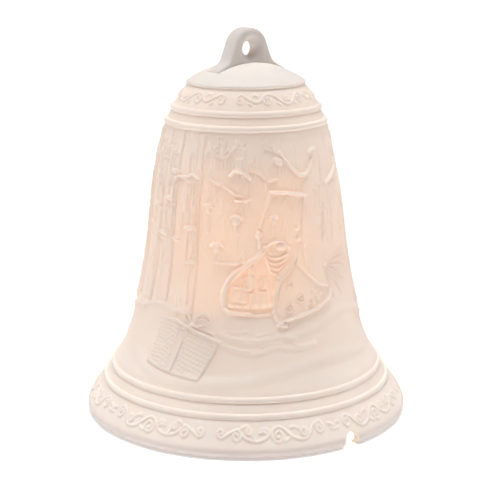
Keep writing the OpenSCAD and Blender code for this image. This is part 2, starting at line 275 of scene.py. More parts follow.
def lower_run(stroke, bud):
    """Five curls on one waving stem, in mm from the gap where the run starts."""
    first = spiral((4.6, -0.3), 2.0, -40, -1.15, 0.5)[::-1]
    second = spiral((11.3, -1.2), 2.3, 80, -1.2, 0.6)
    stroke([*first, (8.8, 0.0), *second])
    last = spiral((48.3, -0.2), 2.4, 85, -1.25, 0.6)
    stem = [(13.4, -0.4), (16.0, -2.3), (20.0, -3.1), (24.0, -2.0), (26.4, 0.2), (28.9, 1.7), (31.5, 1.2)]
    stem += [(33.8, -0.6), (36.0, -2.3), (38.6, -3.2), (41.4, -3.1), (43.6, -1.6), (45.4, 0.8)]
    stroke([*stem, *last])
    stroke([(19.0, -2.6), *spiral((16.7, 0.1), 1.6, -30, 1.15, 0.5)])
    stroke([(26.6, 0.3), *spiral((29.4, -1.3), 2.8, 165, 1.3, 0.7)])
    stroke([(43.4, -1.9), *spiral((40.9, -1.0), 1.9, -15, 1.1, 0.6)])
    for points in (
        [(22.2, 1.1), (24.0, 1.3), (25.6, 0.3)], [(21.6, -0.1), (23.2, 0.2), (24.4, -0.6)],
        [(35.4, 1.4), (37.0, 1.5), (38.4, 0.6)], [(13.6, 1.6), (15.0, 2.3), (16.4, 2.2)],
        [(30.6, -2.8), (32.6, -3.2), (34.2, -2.4)], [(53.2, 0.6), (54.6, 0.3), (55.4, -0.4)],
        [(54.2, -1.4), (55.8, -1.6)],
    ):
        bud(points)


def upper_run(stroke, bud):
    """Four curls and a trough with a curl of its own."""
    first = spiral((4.4, 0.1), 2.1, 80, 1.2, 0.5)[::-1]
    stem = [(7.2, 1.1), (9.4, -0.2), (11.4, -0.7), (13.2, 0.0), (14.6, 1.6), (17.0, 2.4), (19.6, 1.7)]
    stem += [(22.0, 0.0), (25.0, -1.8), (28.0, -1.2), (30.2, 0.6), (32.8, 2.2), (35.6, 1.5), (37.8, 0.0)]
    stem += [(40.0, -0.6), (41.6, 0.4)]
    stroke([*first, *stem, *spiral((43.0, 0.1), 2.0, 130, -1.2, 0.5)])
    stroke([(14.0, 0.6), *spiral((16.3, 0.2), 2.0, 175, 1.2, 0.5)])
    stroke([(27.4, -1.2), *spiral((25.6, 0.3), 1.4, -30, 1.1, 0.4)])
    stroke([(35.0, 1.0), *spiral((33.0, 0.2), 1.9, 20, -1.2, 0.5)])
    for points in (
        [(9.2, 0.4), (9.6, 1.9), (11.0, 2.3), (12.0, 1.5)], [(8.0, -1.2), (9.0, -1.6)],
        [(20.8, -1.2), (22.0, -2.0)], [(38.8, 1.2), (39.6, 2.2), (41.0, 2.1)], [(29.6, -1.6), (31.0, -1.9)],
    ):
        bud(points)


def frieze(relief, run, gap, z, runs, length, width, height):
    """Runs round the bell, each the mirror of the last, between plain gaps."""
    per_mm = 360 / runs / length
    for k in range(runs):
        side = 1 if k % 2 == 0 else -1
        start = gap + 360 / runs * (k if side > 0 else k + 1)

        def place(points):
            return [(start + side * x * per_mm, z + y) for x, y in points]

        run(
            lambda points: relief.line(place(points), width, height),
            lambda points: relief.line(place(points), width * 1.1, height * 0.8),
        )


# --- The winter scene ---


def snow(relief, a, z, width, height=0.55):
    """A cap of snow that droops at its ends."""
    to = local(a, z)
    half = width / 2
    droop = ((-0.9, -0.5), (-0.5, 0.2), (0, 0.5), (0.5, 0.25), (0.85, -0.4))
    relief.line([to(half * x, y) for x, y in droop], 1.8, height)
    relief.mound(to(0, -0.2), (width * 0.72, 2.0), height * 0.9)


def trunk(relief, a, width, low, high):
    """A tree trunk: a crisp side, a soft side, long bark folds and broken scars."""
    half = width / 2
    foot, top = (a - half, low), (a - half * 0.9, high)
    relief.plate([foot, (a + half, low), (a + half * 0.9, high), top], 0.3, 0.9)
    relief.line([(a + half, low), (a + half + 0.5, (low + high) / 2), (a + half, high)], 0.95, 0.5)
    for _ in range(14):
        x = a + rng.uniform(-0.9, 0.75) * half
        z = rng.uniform(low + 3, high - 14)
        long = rng.uniform(6, 22)
        bend = rng.uniform(-0.6, 0.6)
        fold = [(x, z), (x + bend, z + long / 2), (x, min(z + long, high))]
        relief.line(fold, 0.8, rng.uniform(0.22, 0.46))
    for z in np.arange(low + 5, high - 4, 6.5):
        x = a + rng.uniform(-0.5, 0.4) * half
        z += rng.uniform(-2, 2)
        relief.cut([(x - 1.6, z), (x, z + 0.5), (x + 2.0, z)], 0.9, 0.25)


def clumps(relief, a0, a1, z0, z1, count, reach=2.2):
    """Snowy leaves and twigs, scattered in small clumps."""
    for _ in range(count):
        to = local(rng.uniform(a0, a1), rng.uniform(z0, z1))
        lean = rng.uniform(-0.8, 0.8)
        twig = [to(-reach, lean), to(-reach / 3, 0.8), to(reach / 3, 0.1), to(reach, 0.7 - lean)]
        relief.line(twig, 0.9, 0.25)
        for _ in range(3):
            place, size = to(*rng.uniform(-reach, reach, 2)), rng.uniform(0.9, 2.0, 2)
            relief.mound(place, size, rng.uniform(0.15, 0.4), rng.uniform(0, 90))


def hatch(relief, a0, a1, z0, z1, count, height):
    """Faint marks of the modelling tool, most of them upright."""
    for _ in range(count):
        to = local(rng.uniform(a0, a1), rng.uniform(z0, z1))
        long, lean, bend = rng.uniform(1.5, 4.5), rng.normal(0, 0.9), rng.normal(0, 0.5)
        relief.line([to(-lean, -long), to(bend, 0), to(lean, long)], 1.1, height * rng.uniform(0.5, 1.3))


def post(relief, a, low, high, width):
    """A fence post with a cap of snow."""
    half = width / 2
    to = local(a, low)
    relief.plate(oblong(to, -half, half, 0, high - low), 0.25, 0.8)
    relief.mound(to(-0.2, high - low - 1.8), (width * 1.25, 3.4), 0.42)
    snow(relief, a, high, width * 1.9, 0.62)


def fir(relief, a, low, high, width):
    """A fir in tiers, each tier a row of drooping boughs with snow on them."""
    tiers = max(4, int((high - low) / 7))
    to = local(a, low)
    tall = high - low
    relief.plate([to(-width / 2, 3), to(width / 2, 3), to(1, tall), to(-1, tall)], 0.25, 1.5)
    relief.plate([to(-1.4, -2), to(1.4, -2), to(1.2, 5), to(-1.2, 5)], 0.3, 0.8)
    for k in range(tiers):
        y = 4 + (tall - 6) * k / tiers
        reach = (width / 2) * (1 - k / tiers) ** 0.8
        for x in np.linspace(-1, 1, 5 if k < tiers - 2 else 3):
            tip = (x * reach, y - 1.6 * abs(x) - 0.6)
            relief.line([to(x * reach * 0.25, y + 5.0), to(x * reach * 0.75, y + 2.3), to(*tip)], 2.1, 0.42)
            relief.mound(to(tip[0] * 0.92, tip[1] + 1.2), (2.6, 1.6), 0.55, -30 * x)
    relief.line([to(0, tall - 4), to(0, tall + 1)], 1.2, 0.45, straight=True)


def cottage(relief, a, z, width, tall):
    """A gabled cottage: snow on the roof and chimney, a door and two windows."""
    to = local(a, z)
    half = width / 2
    eaves, ridge = half + 2.5, half * 0.55
    eaves_z, chimney_z = tall * 0.46, tall * 1.22
    relief.plate(oblong(to, -half, half, 0, tall * 0.5), 0.4, 0.8)
    relief.plate([to(-eaves, eaves_z), to(eaves, eaves_z), to(ridge, tall), to(-ridge, tall)], 0.75, 1.2)
    relief.line([to(-eaves, eaves_z), to(0, tall * 0.43), to(eaves, eaves_z)], 1.8, 0.5)
    relief.line([to(-ridge, tall), to(0, tall + 0.5), to(ridge, tall)], 1.5, 0.4)
    relief.plate(oblong(to, half * 0.1, half * 0.4, tall, chimney_z), 0.6)
    relief.line([to(half * 0.05, chimney_z), to(half * 0.45, chimney_z)], 1.4, 0.5, straight=True)
    relief.cut([to(0, 0.5), to(0, tall * 0.3)], 4.6, 0.35)
    for x in (half * -0.62, half * 0.62):
        relief.cut([to(x, tall * 0.17), to(x, tall * 0.33)], 3.6, 0.35)
        relief.line([to(x - 1.9, tall * 0.12), to(x + 1.9, tall * 0.12)], 0.9, 0.4, straight=True)


def bough(relief, root, tips, width=0.9):
    """Needled twigs that fan out from one root."""
    for a, z in tips:
        middle = ((root[0] + a) / 2, (root[1] + z) / 2 + 0.8)
        relief.line([root, middle, (a, z)], width, 0.38)
        relief.line([middle, ((middle[0] + a) / 2 + 0.6, (middle[1] + z) / 2 - 1.6)], width * 0.8, 0.26)


def gift(relief):
    """A wrapped box, tipped in the snow."""
    top_left, ridge_left, ridge_right = (-47, 52.5), (-37, 53), (-12.5, 46)
    low_right, low_middle, low_left = (-21, 29.5), (-38, 31), (-50, 33)
    relief.plate([top_left, ridge_left, ridge_right, low_right, low_middle, low_left], 0.55, 0.7)
    relief.draw(
        ([top_left, ridge_left], 1.1, 0.5),
        ([ridge_left, (-25, 49.2), ridge_right], 1.5, 0.62),
        ([ridge_right, low_right], 1.0, 0.42),
        ([low_right, low_middle, low_left], 0.9, 0.3),
        ([low_left, top_left], 1.0, 0.35),
        straight=True,
    )
    wrapping(relief)
    ribbon(relief)


def wrapping(relief):
    """Rows of small scales on the gift's two faces, beside its ribbon."""
    for row in range(12):
        down = 2.2 + row * 1.75
        for k in range(13):
            share = (k + 0.5 * (row % 2)) / 13
            a = -37 + 24 * share - down * 0.42
            z = 52.6 - 6.8 * share - down
            if -2.4 < (a + 31.5 + (51 - z) * 0.22) < 2.6 or z < 31:
                continue
            relief.mound((a, z), (1.5, 0.95), 0.3, 25)
    for row in range(12):
        z = 50.5 - row * 1.6
        for k in range(4):
            relief.mound((-46 + 2.2 * k + 1.1 * (row % 2) - (51 - z) * 0.15, z), (1.4, 0.95), 0.28, -20)


def ribbon(relief):
    """The gift's ribbon, with a bow on its ridge."""
    middle = [(-31.5, 51.2), (-34.5, 41), (-37, 31.5)]
    for shift in (-2.1, 2.1):
        relief.line([(a + shift, z) for a, z in middle], 0.9, 0.5)
    relief.plate([(-33.6, 51), (-29.6, 50), (-34.8, 31.2), (-39.2, 31.2)], 0.18, 0.5)
    for loop in (
        [(-28, 51.5), (-31.5, 54), (-32, 56.5), (-29.5, 56.5), (-27.5, 52)],
        [(-27, 51.5), (-25, 55.5), (-20, 57), (-17.5, 54.5), (-22, 52), (-26.5, 51)],
        [(-27, 51), (-21, 50.5), (-16, 48.8)],
        [(-28, 51), (-34, 52), (-38, 55)],
        [(-28, 51), (-31, 49.5), (-35, 50)],
        [(-24.5, 54), (-21.5, 55), (-19.5, 54)],
    ):
        relief.line(loop, 0.9, 0.5)
    relief.mound((-27.5, 51.6), (3.0, 2.4), 0.85)


def sleigh(relief):
    """An open sleigh, three-quarters on: two curled sides, a load between them and a long runner."""
    near = [(10, 86.5), (6.5, 83), (0, 79), (-5.5, 75.5), (-9.5, 71.5), (-11.5, 67), (-11.5, 61.5)]
    near += [(-9, 58.5)]
    far = [(28, 81), (22.5, 76.5), (18, 72), (15.5, 66), (14.5, 59), (16, 54), (20, 52.5)]
    relief.plate([(9, 84), (-8, 72), (-11, 60), (15, 56), (17, 70), (26, 80)], -0.35, 1.2)
    sleigh_side(relief, near, ((0, 4), (2, 6), (4, 8)))
    sleigh_side(relief, far, ((0, 4), (2, 7)))
    relief.line([(2.6, 78), (2.2, 74), (2.4, 69)], 3.4, 0.4)
    relief.line([(-9, 58.5), (2, 57.6), (14, 57)], 1.2, 0.45)
    blanket(relief)
    for a, z, width, tall, tilt in (
        (-3, 66, 7, 6, -8), (6.5, 63.8, 7, 6.5, 6), (1.5, 71, 5.5, 4.5, 12), (9.5, 70.5, 5, 4, -10),
    ):
        parcel(relief, a, z, width, tall, tilt)
    for a in (-8, -4, 0.5, 5, 9.5, 13):
        relief.mound((a, 61.2), (3.0, 1.6), 0.5)
    sleigh_panel(relief)


def sleigh_side(relief, side, strokes):
    """A curled side in overlapping strokes, from one point to another, with snow lumps on it."""
    for first, last in strokes:
        relief.line(side[first:last], rng.uniform(2.4, 3.2), rng.uniform(0.5, 0.62))
    relief.line([(a + 1.0, z - 0.8) for a, z in side], 0.9, 0.72)
    for a, z in side[1:-1]:
        size = rng.uniform(1.6, 2.6, 2)
        relief.mound((a + rng.uniform(-0.8, 0.8), z + rng.uniform(-1, 1)), size, rng.uniform(0.55, 0.75))


def blanket(relief):
    """A rolled blanket on the seat, and the folds that hang from it."""
    for k in range(4):
        drop = k * 2.3
        fold = [(9.5 + k, 85 - drop), (12.5 + k / 2, 82.2 - drop), (18, 81.4 - drop), (23.5 - k, 83.2 - drop)]
        relief.line(fold, 1.2, 0.45 - 0.06 * k)
    relief.line([(9.5, 85), (14, 88.5), (20, 88.8), (25.5, 85)], 1.5, 0.7)
    relief.mound((20, 86.5), (5, 3.6), 0.75)


def parcel(relief, a, z, width, tall, tilt):
    """A small tied parcel, tilted by some degrees."""
    to = local(a, z)
    c, s = math.cos(math.radians(tilt)), math.sin(math.radians(tilt))
    w, h = width / 2, tall / 2

    def at(x, y):
        return to(x * c - y * s, x * s + y * c)

    relief.plate(oblong(at, -w, w, -h, h), 0.35, 0.6)
    relief.draw(
        ([at(-w, h), at(0, h + 0.3), at(w, h)], 1.1, 0.5),
        ([at(0, -h), at(0.3, 0), at(0, h)], 0.9, 0.35),
        ([at(-1.2, h + 1.1), at(0, h + 0.3), at(1.2, h + 1.2)], 0.9, 0.5),
    )


def sleigh_panel(relief):
    """The sleigh's far panel with its curls, over the runner."""
    relief.plate([(17, 70), (27, 79), (46, 66), (47, 60), (21, 55), (16, 58)], 0.22, 1.2)
    relief.line([(19, 54.2), (30, 56.2), (40, 58), (48, 60.5), (51, 64)], 1.6, 0.8)
    relief.line([(27, 79.5), (34, 73), (42, 67.5), (49, 66)], 1.3, 0.5)
    for a, z, r in ((22.5, 60, 2.3), (29.5, 63.5, 2.4), (24, 69.5, 1.6), (35.5, 60.5, 1.5)):
        to = local(a, z)
        relief.line([to(*p) for p in spiral((0, 0), r, 200, 1.4, 0.6)], 0.9, 0.36)
    for a, z in ((37.5, 65), (40, 62), (42.5, 64)):
        relief.mound((a, z), (1.7, 2.6), 0.45, 20)


def wood(relief):
    """The trees on the left, and leaves and snow on both sides."""
    for a, width, low in ((-34, 11, 56), (-50, 8, 60), (-64, 9, 58), (-80, 8, 58)):
        trunk(relief, a, width, low, TREE_TOP)
    relief.line([(-49, 112), (-45, 115), (-39, 115), (-34, 116.5), (-29.5, 115)], 1.7, 0.7)
    for a, z, width in (
        (-47.5, 117, 5), (-52, 105, 6), (-55, 89, 8), (-43.5, 88, 4), (-33, 93.5, 6), (-31, 79, 6),
        (-64, 101, 6), (-70, 92, 5),
    ):
        snow(relief, a, z, width)
    for patch in (
        (-24, -3, 126, 131.5, 12), (8, 16, 125, 130.5, 4), (-75, -44, 108, 131, 16),
        (-42, -30, 112, 117, 5, 1.6), (-62, -46, 86, 90, 7), (-54, -46, 100, 106, 4),
        (44, 80, 108, 131, 12), (50, 78, 80, 104, 8),
    ):
        clumps(relief, *patch)


def far_yard(relief):
    """Snowy roofs and fence posts in the distance."""
    relief.line([(-26, 128), (-20, 125.5), (-14, 124.5), (-9, 126.5)], 1.0, 0.4)
    relief.plate([(-6.3, 119), (-1.8, 118.5), (-1.8, 124.5), (-6.3, 124.5)], 0.42, 0.6)
    relief.line([(-9.5, 117), (-6, 119.3), (-2, 118.6), (2.5, 116)], 1.8, 0.75)
    relief.plate([(-8, 117), (-5, 118), (-2, 117.5), (1, 116), (0, 109), (-6, 110)], 0.14, 1.6)
    relief.line([(-22, 116), (-18, 114), (-13, 113), (-6, 109.5), (-3, 109)], 1.3, 0.6)
    relief.line([(-6, 107), (-2, 106.6), (2.5, 107.2)], 1.5, 0.6)
    relief.line([(3, 119.5), (8, 118.5), (13, 115.5), (18.5, 115)], 1.3, 0.5)
    for stake in ((-22, 92, 104, 2.2), (-5.5, 92, 99.5, 3), (-16, 80, 87.5, 3.4), (16, 91, 99.5, 2)):
        post(relief, *stake)
    relief.line([(-17, 80), (-8, 79.4), (0.5, 80)], 1.1, 0.5)


def barn(relief):
    """A barn with a flat snowy roof and a leaning corner."""
    relief.plate([(13, 109), (36, 107.5), (34, 88), (8, 88)], 0.25, 1.0)
    relief.line([(14, 110), (24, 109.4), (36.5, 107.6)], 2.0, 0.85)
    relief.line([(13.5, 109), (10.5, 102), (7.5, 95)], 1.5, 0.6)
    relief.line([(35.5, 107), (34, 98), (33, 90)], 1.1, 0.4)
    relief.mound((7, 92), (3.4, 3.8), 0.75)
    relief.line([(7.2, 90), (7.4, 86)], 2.0, 0.5, straight=True)
    for a, z in ((30, 94), (30.5, 89.5), (34, 86)):
        relief.mound((a, z), (2.6, 2.2), 0.5)


def garland(relief):
    """A garland of snow between two boughs, and the boughs on the right."""
    left_half = [(21, 126.5), (25, 123), (29, 119.5), (33, 116.8)]
    relief.line([*left_half, (38, 116.4), (41.5, 118), (45, 121.5), (46.5, 124)], 1.9, 0.65)
    relief.mound((20.5, 123), (5.0, 3.2), 0.7, -20)
    relief.mound((47.5, 125.5), (6.4, 4.0), 0.7, 20)
    relief.draw(
        ([(54.5, 126), (53, 118), (52, 111)], 1.0, 0.4),
        ([(74, 120), (70, 116), (63, 112.8), (56, 111)], 2.3, 0.7),
        ([(52.5, 103), (50.5, 95), (49, 86)], 1.1, 0.45),
        ([(61, 104), (60, 95), (59.5, 84)], 0.9, 0.3),
    )
    bough(relief, (48, 75), ((72, 80), (74, 75.5), (72, 71), (67, 66), (62, 61), (54, 60)))


def drifts(relief):
    """Soft swells in the snow in front, with faint edges on them."""
    relief.swell([(-12, 49), (-5, 47), (3, 45.8), (10, 47), (17, 48), (24, 46)], 5, 0.3)
    relief.swell([(-12, 45), (-3, 42), (6, 41.5), (14, 43.5), (24, 42), (34, 43)], 4.5, 0.3)
    for edge in (
        [(-10, 50.5), (-5, 50), (1, 50.6)], [(-8, 48), (-2, 47), (5, 46.8)],
        [(5, 48.6), (10, 49.4), (15, 49)], [(-9, 44.6), (-4, 43), (2, 42.6)],
        [(7, 43.8), (12, 45.2), (17, 45)], [(22, 45), (26, 43.2), (32, 43.6)],
    ):
        relief.line(edge, 1.3, 0.16)
    relief.swell([(-66, 54), (-56, 57.5), (-46, 58), (-38, 56)], 5, 0.3)
    relief.line([(-64, 54.5), (-56, 57), (-47, 58.5)], 1.0, 0.2)
    relief.swell([(20, 48), (38, 50), (58, 54), (80, 50)], 7, 0.35)
    relief.swell([(-60, 34), (-40, 28.5), (-10, 29), (15, 33), (40, 36), (70, 34)], 9, 0.35)


def front(relief):
    """What the scene shows from its front."""
    wood(relief)
    far_yard(relief)
    barn(relief)
    garland(relief)
    sleigh(relief)
    relief.press = GIFT_PRESS
    gift(relief)
    relief.press = 1.0
    drifts(relief)
    for marks in (
        (-26, 6, 103, 127, 60, 0.13), (-26, 40, 78, 104, 60, 0.1), (10, 75, 100, 131, 70, 0.13),
        (-78, -28, 60, 132, 110, 0.12), (46, 80, 60, 100, 40, 0.12),
    ):
        hatch(relief, *marks)


def back(relief):
    """The rest of the way round: firs, a cottage and a fence in the same snow."""
    for a, low, high, width in ((98, 48, 112, 30), (128, 55, 96, 20), (232, 50, 118, 30), (262, 52, 98, 22)):
        fir(relief, a, low, high, width)
    cottage(relief, 178, 60, 26, 30)
    trunk(relief, 205, 9, 55, TREE_TOP)
    trunk(relief, 150, 8, 62, TREE_TOP)
    for a, z, width in ((203, 96, 6), (207, 112, 6), (149, 104, 6), (151, 84, 5), (85, 100, 6)):
        snow(relief, a, z, width)
    for a in np.arange(160, 200, 6.5):
        post(relief, a, 46, 55, 2)
    for z in (49, 52.5):
        relief.line([(157, z), (178, z + 0.6), (198, z)], 1.0, 0.35)
    for a0, a1 in ((80, 110), (138, 162), (190, 222), (245, 275)):
        clumps(relief, a0, a1, 126, 131.5, 14)
    for a in (165, 180, 192):
        relief.mound((a, 118), (2.2, 2.2), 0.4)
    for points in (
        [(76, 50), (95, 45), (115, 49), (135, 45), (155, 43)],
        [(150, 42), (175, 45), (200, 41), (222, 45)],
        [(215, 48), (240, 43), (262, 48), (285, 53), (296, 54)],
    ):
        relief.swell(points, 8, 0.4)
        relief.line(points, 1.3, 0.3)


def in_scene(z):
    """1 on the scene's field, 0 off it."""
    return np.clip((z - SCENE_LOW) / 6, 0, 1) * np.clip((SCENE_HIGH - z) / 3, 0, 1)


def carve(turn, s):
    """The whole relief, as a height for each surface point."""
    relief = Relief(turn, s)
    z = outer.at(s)[:, 1]
    scene = in_scene(z)
    # Hand modelling leaves the ground uneven: waves round the bell and up it, with their heights and phases
    a = np.radians(turn)
    uneven = sum(
        h * np.sin(k * a + p + 0.9 * np.sin(z / w)) * np.sin(z / w + p)
        for k, w, h, p in ((3, 17, 0.08, 0.4), (5, 11, 0.07, 1.9), (8, 7, 0.05, 4.0), (13, 5, 0.03, 2.2))
    )
    relief.ground += scene * uneven
    front(relief)
    back(relief)
    relief.ground *= np.clip((SCENE_HIGH - z) / 2, 0, 1) * GROUND_DEPTH
    relief.lines *= np.clip(SCENE_HIGH - z, 0, 1) * LINE_DEPTH
    relief.ground -= SINK * scene
    relief.pen = 1.0
    frieze(relief, lower_run, -12.5, 11.0, 8, 55.8, 1.5, 0.62)
    frieze(relief, upper_run, -13.0, 147.9, 4, 47.0, 1.15, 0.5)
    for bead in BEADS:
        d = (s - outer.s_of([bead])[0]) / BEAD_HALF
        relief.lines = np.maximum(relief.lines, BEAD_HEIGHT * np.sqrt(np.clip(1 - d * d, 0, 1)))
    return relief.ground + relief.lines


def hollows(heights, counts):
    """How far each point lies below the middle of what is round it, in mm."""
    found, start = np.zeros(len(heights)), 0
    for count, run in groupby(counts):
        rows = len(list(run))
        end = start + rows * count
        grid = heights[start:end].reshape(rows, count)
        mean = grid
        for _ in range(3 if rows > 8 else 0):
            mean = (np.roll(mean, 1, 1) + mean + np.roll(mean, -1, 1)) / 3
            mean = np.vstack([mean[:1], (mean[:-2] + mean[1:-1] + mean[2:]) / 3, mean[-1:]])
        found[start:end] = (mean - grid).ravel()
        start = end
    return found


def fade(value, full, none):
    """1 up to full, 0 from none on, and smooth between."""
    t = np.clip((value - none) / (full - none), 0, 1)
    return t * t * (3 - 2 * t)


# Panes where the painted glow is brighter, as if the wall were thinner there, though the mesh is not: turns
# from and to, heights from and to, and mm thinner
PANES = (
    (-4, 0, 70, 76, 0.5), (7, 12, 68, 76, 0.45), (-7, 12, 58, 66, 0.3),
    (13, 32, 92, 106, 0.35), (15, 36, 111, 115, 0.45), (-22, 0, 66, 92, 0.12),
)
PANE_EDGE = 4  # degrees and mm over which a pane fades out


def wall(turn, z, height):
    """Porcelain taken to be in the light's way, in mm, which sets the painted glow: the height given, with
    the open sky counted thin, trees, snow and the dome thick, and the panes thinner; of these only the
    relief's height is in the mesh.
    """
    sky = np.maximum(fade(np.abs(wrap(turn) + 2), 24, 56), fade(np.abs(turn - 180), 24, 60))
    sky *= fade(z, 60, 54) * fade(z, 108, 132)
    thick = 0.7 * height + (1 - sky) + 4.0 * fade(z, 156, 150)
    for a0, a1, z0, z1, thinner in PANES:
        across, up = (a1 - a0) / 2, (z1 - z0) / 2
        pane = fade(np.abs(wrap(turn) - a0 - across), across, across + PANE_EDGE)
        thick -= thinner * pane * fade(abs(z - z0 - up), up, up + PANE_EDGE)
    return thick


# --- Mesh of the bell ---

FINE, COARSE, PLAIN = 1440, 720, 180  # points in a ring
NOTCH_WIDTH, NOTCH_TALL = 7.8, 6.8
INSIDE = 9.0  # the wall's attribute on surfaces that face the bulb or the notch, which pass no light on


def row_step(s, z, r):
    """How far apart the rows are, in mm: close where the surface has small forms."""
    if min(abs(s - outer.s_of([bead])[0]) for bead in BEADS) < 1.8:
        return 0.2
    if s > outer.s[-1] - 30 and r < SHOULDER[0] - 1:
        return 1.4
    if z > SHOULDER[1] - 1:
        return 0.2
    if z > BEADS[3]:
        return 0.42
    if z > BEADS[1]:
        return 0.5
    return 0.45


def outer_rows():
    """Where the rings of the outer surface lie, from the lip to the apex."""
    s, rows = 0.0, []
    while s < outer.s[-1] - 0.7:
        rows.append(s)
        r, z = outer.at([s])[0]
        s += row_step(s, z, r)
    return np.array(rows)


def ring_count(r, z):
    """How many points a ring has: more at the wide foot, fewer on the plain dome."""
    if z < BEADS[0] and r > 60:
        return FINE
    if r > SHOULDER[0] - 2:
        return COARSE
    return PLAIN * 2 if r > SHOULDER[0] - 4 else PLAIN


def stitch(faces, low, high):
    """Faces between two rings of vertex numbers, of which one may have twice the other's."""
    n, m = len(low), len(high)
    if n == m:
        nxt = np.roll(np.arange(n), -1)
        faces.extend(np.column_stack([low, low[nxt], high[nxt], high]).tolist())
        return
    few = min(n, m)
    for j in range(few):
        k = (j + 1) % few
        if m == 2 * n:
            faces.append([low[j], low[k], high[2 * k], high[2 * j + 1], high[2 * j]])
        else:
            faces.append([low[2 * j], low[2 * j + 1], low[2 * k], high[k], high[j]])


def new_mesh(name, vertices, faces, smooth=True):
    """A mesh from points in mm."""
    mesh = bpy.data.meshes.new(name)
    mesh.from_pydata((np.vstack(vertices) * MM).tolist(), [], faces)
    mesh.polygons.foreach_set("use_smooth", np.full(len(mesh.polygons), smooth))
    mesh.update()
    return mesh


def face_outwards(mesh):
    """Turns the faces' normals outwards."""
    bm = bmesh.new()
    bm.from_mesh(mesh)
    bmesh.ops.recalc_face_normals(bm, faces=bm.faces)
    bm.to_mesh(mesh)
    bm.free()


def store(mesh, name, values):
    """Puts one number on each point, for the material to read."""
    mesh.attributes.new(name, "FLOAT", "POINT").data.foreach_set("value", np.array(values, float))


def tube_faces(loops, n):
    """Faces from each loop of n points to the next, and from the last to the first."""
    faces = []
    for k in range(loops):
        a, b = k * n, (k + 1) % loops * n
        faces += [[a + j, a + (j + 1) % n, b + (j + 1) % n, b + j] for j in range(n)]
    return faces


def inner_rings():
    """Rings of the plain inside and the foot: turn in degrees, r, z, wall and hollow."""
    places = [(r, z, PLAIN) for r, z in inner.at(np.linspace(1.2, inner.s[-1], 64))]
    places += [(FOOT_IN_R + 0.4 * k, 0, count) for k, count in ((1, PLAIN), (2, PLAIN * 2), (3, COARSE))]
    return [
        (np.arange(count) * 360 / count, *(np.full(count, value) for value in (r, z, INSIDE, 0.0)))
        for r, z, count in places
    ]


def outer_rings():
    """Rings of the carved outside, in the same form."""
    rings, start = [], 0
    rows = outer_rows()
    points, normals = outer.at(rows), outer.normal_at(rows)
    counts = [ring_count(r, z) for r, z in points]
    turn = np.concatenate([np.arange(n) * 360 / n for n in counts])
    heights = carve(turn, np.repeat(rows, counts))
    hollow = hollows(heights, counts)
    for (r, z), (nr, nz), count in zip(points, normals, counts):
        part = slice(start, start + count)
        h = heights[part]
        thick = wall(turn[part], z, h + hollow[part] + SINK * in_scene(z))
        rings.append((turn[part], r + nr * h, z + nz * h, thick, hollow[part]))
        start += count
    return rings


def bell_mesh():
    """The bell's skin: from the inside's top down, round the foot and up to the apex."""
    vertices, walls, lows, faces, numbers = [], [], [], [], []
    for turn, r, z, thick, low_place in inner_rings() + outer_rings():
        a = np.radians(turn + FRONT)
        numbers.append(len(walls) + np.arange(len(turn)))
        vertices.append(np.column_stack([r * np.cos(a), r * np.sin(a), z]))
        walls.extend(thick)
        lows.extend(low_place)
    for low, high in zip(numbers, numbers[1:]):
        stitch(faces, low, high)
    vertices += [[[0, 0, inner.points[0, 1]]], [[0, 0, APEX_Z]]]
    poles = len(walls), len(walls) + 1
    walls += [INSIDE, INSIDE]
    lows += [0, 0]
    first, last = numbers[0], numbers[-1]
    faces += [[poles[0], first[(j + 1) % PLAIN], first[j]] for j in range(PLAIN)]
    faces += [[last[j], last[(j + 1) % PLAIN], poles[1]] for j in range(PLAIN)]

    mesh = new_mesh("bell", vertices, faces)
    store(mesh, "wall", walls)
    store(mesh, "hollow", lows)
    return mesh


def put(name, data):
    """A new object in the scene."""
    obj = bpy.data.objects.new(name, data)
    bpy.context.scene.collection.objects.link(obj)
    return obj


def add(name, mesh, body, node):
    """A new piece in the scene, on its body, in place of a CAD node."""
    obj = put(name, mesh)
    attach(obj, body)
    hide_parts(node)
    return obj


def cutter_mesh():
    """The arched notch as a solid: through the rim along +X."""
    r = NOTCH_WIDTH / 2
    arch = arc((0, NOTCH_TALL - r), r, 180, 0, 24)
    ring = np.vstack([(-r, -2.0), arch, (r, -2.0)])
    n = len(ring)
    ends = [np.column_stack([np.full(n, x), ring]) for x in (FOOT_IN_R - 8, RIM_R + 3)]
    faces = [list(range(n)), list(range(2 * n - 1, n - 1, -1))]
    faces += [[j, n + j, n + (j + 1) % n, (j + 1) % n] for j in range(n)]
    mesh = new_mesh("notch", ends, faces, smooth=False)
    store(mesh, "wall", np.full(2 * n, INSIDE))
    face_outwards(mesh)
    return mesh


def sharpen_notch(mesh):
    """Crisp edges round the notch, where everything else is smooth."""
    room = 2.1 * MM
    bm = bmesh.new()
    bm.from_mesh(mesh)
    for edge in bm.edges:
        v = edge.verts[0].co
        beside = v.x > 60 * MM and abs(v.y) < NOTCH_WIDTH / 2 * MM + room and v.z < NOTCH_TALL * MM + room
        if beside and len(edge.link_faces) == 2:
            edge.smooth = edge.calc_face_angle() < math.radians(50)
    bm.to_mesh(mesh)
    bm.free()


def bell():
    """The carved bell with its notch cut out."""
    obj = add("porcelain_bell", bell_mesh(), "bell", "bell_shell")
    cutter = put("notch_cutter", cutter_mesh())
    cut = obj.modifiers.new("notch", "BOOLEAN")
    cut.operation = "DIFFERENCE"
    cut.solver = "EXACT"
    cut.object = cutter
    depsgraph = bpy.context.evaluated_depsgraph_get()
    mesh = bpy.data.meshes.new_from_object(obj.evaluated_get(depsgraph))
    obj.modifiers.clear()
    obj.data = mesh
    bpy.data.objects.remove(cutter)
    sharpen_notch(mesh)
    mesh.materials.clear()
    mesh.materials.append(lit_bisque("bisque", (0.96, 0.9, 0.85)))


# --- Lug ---

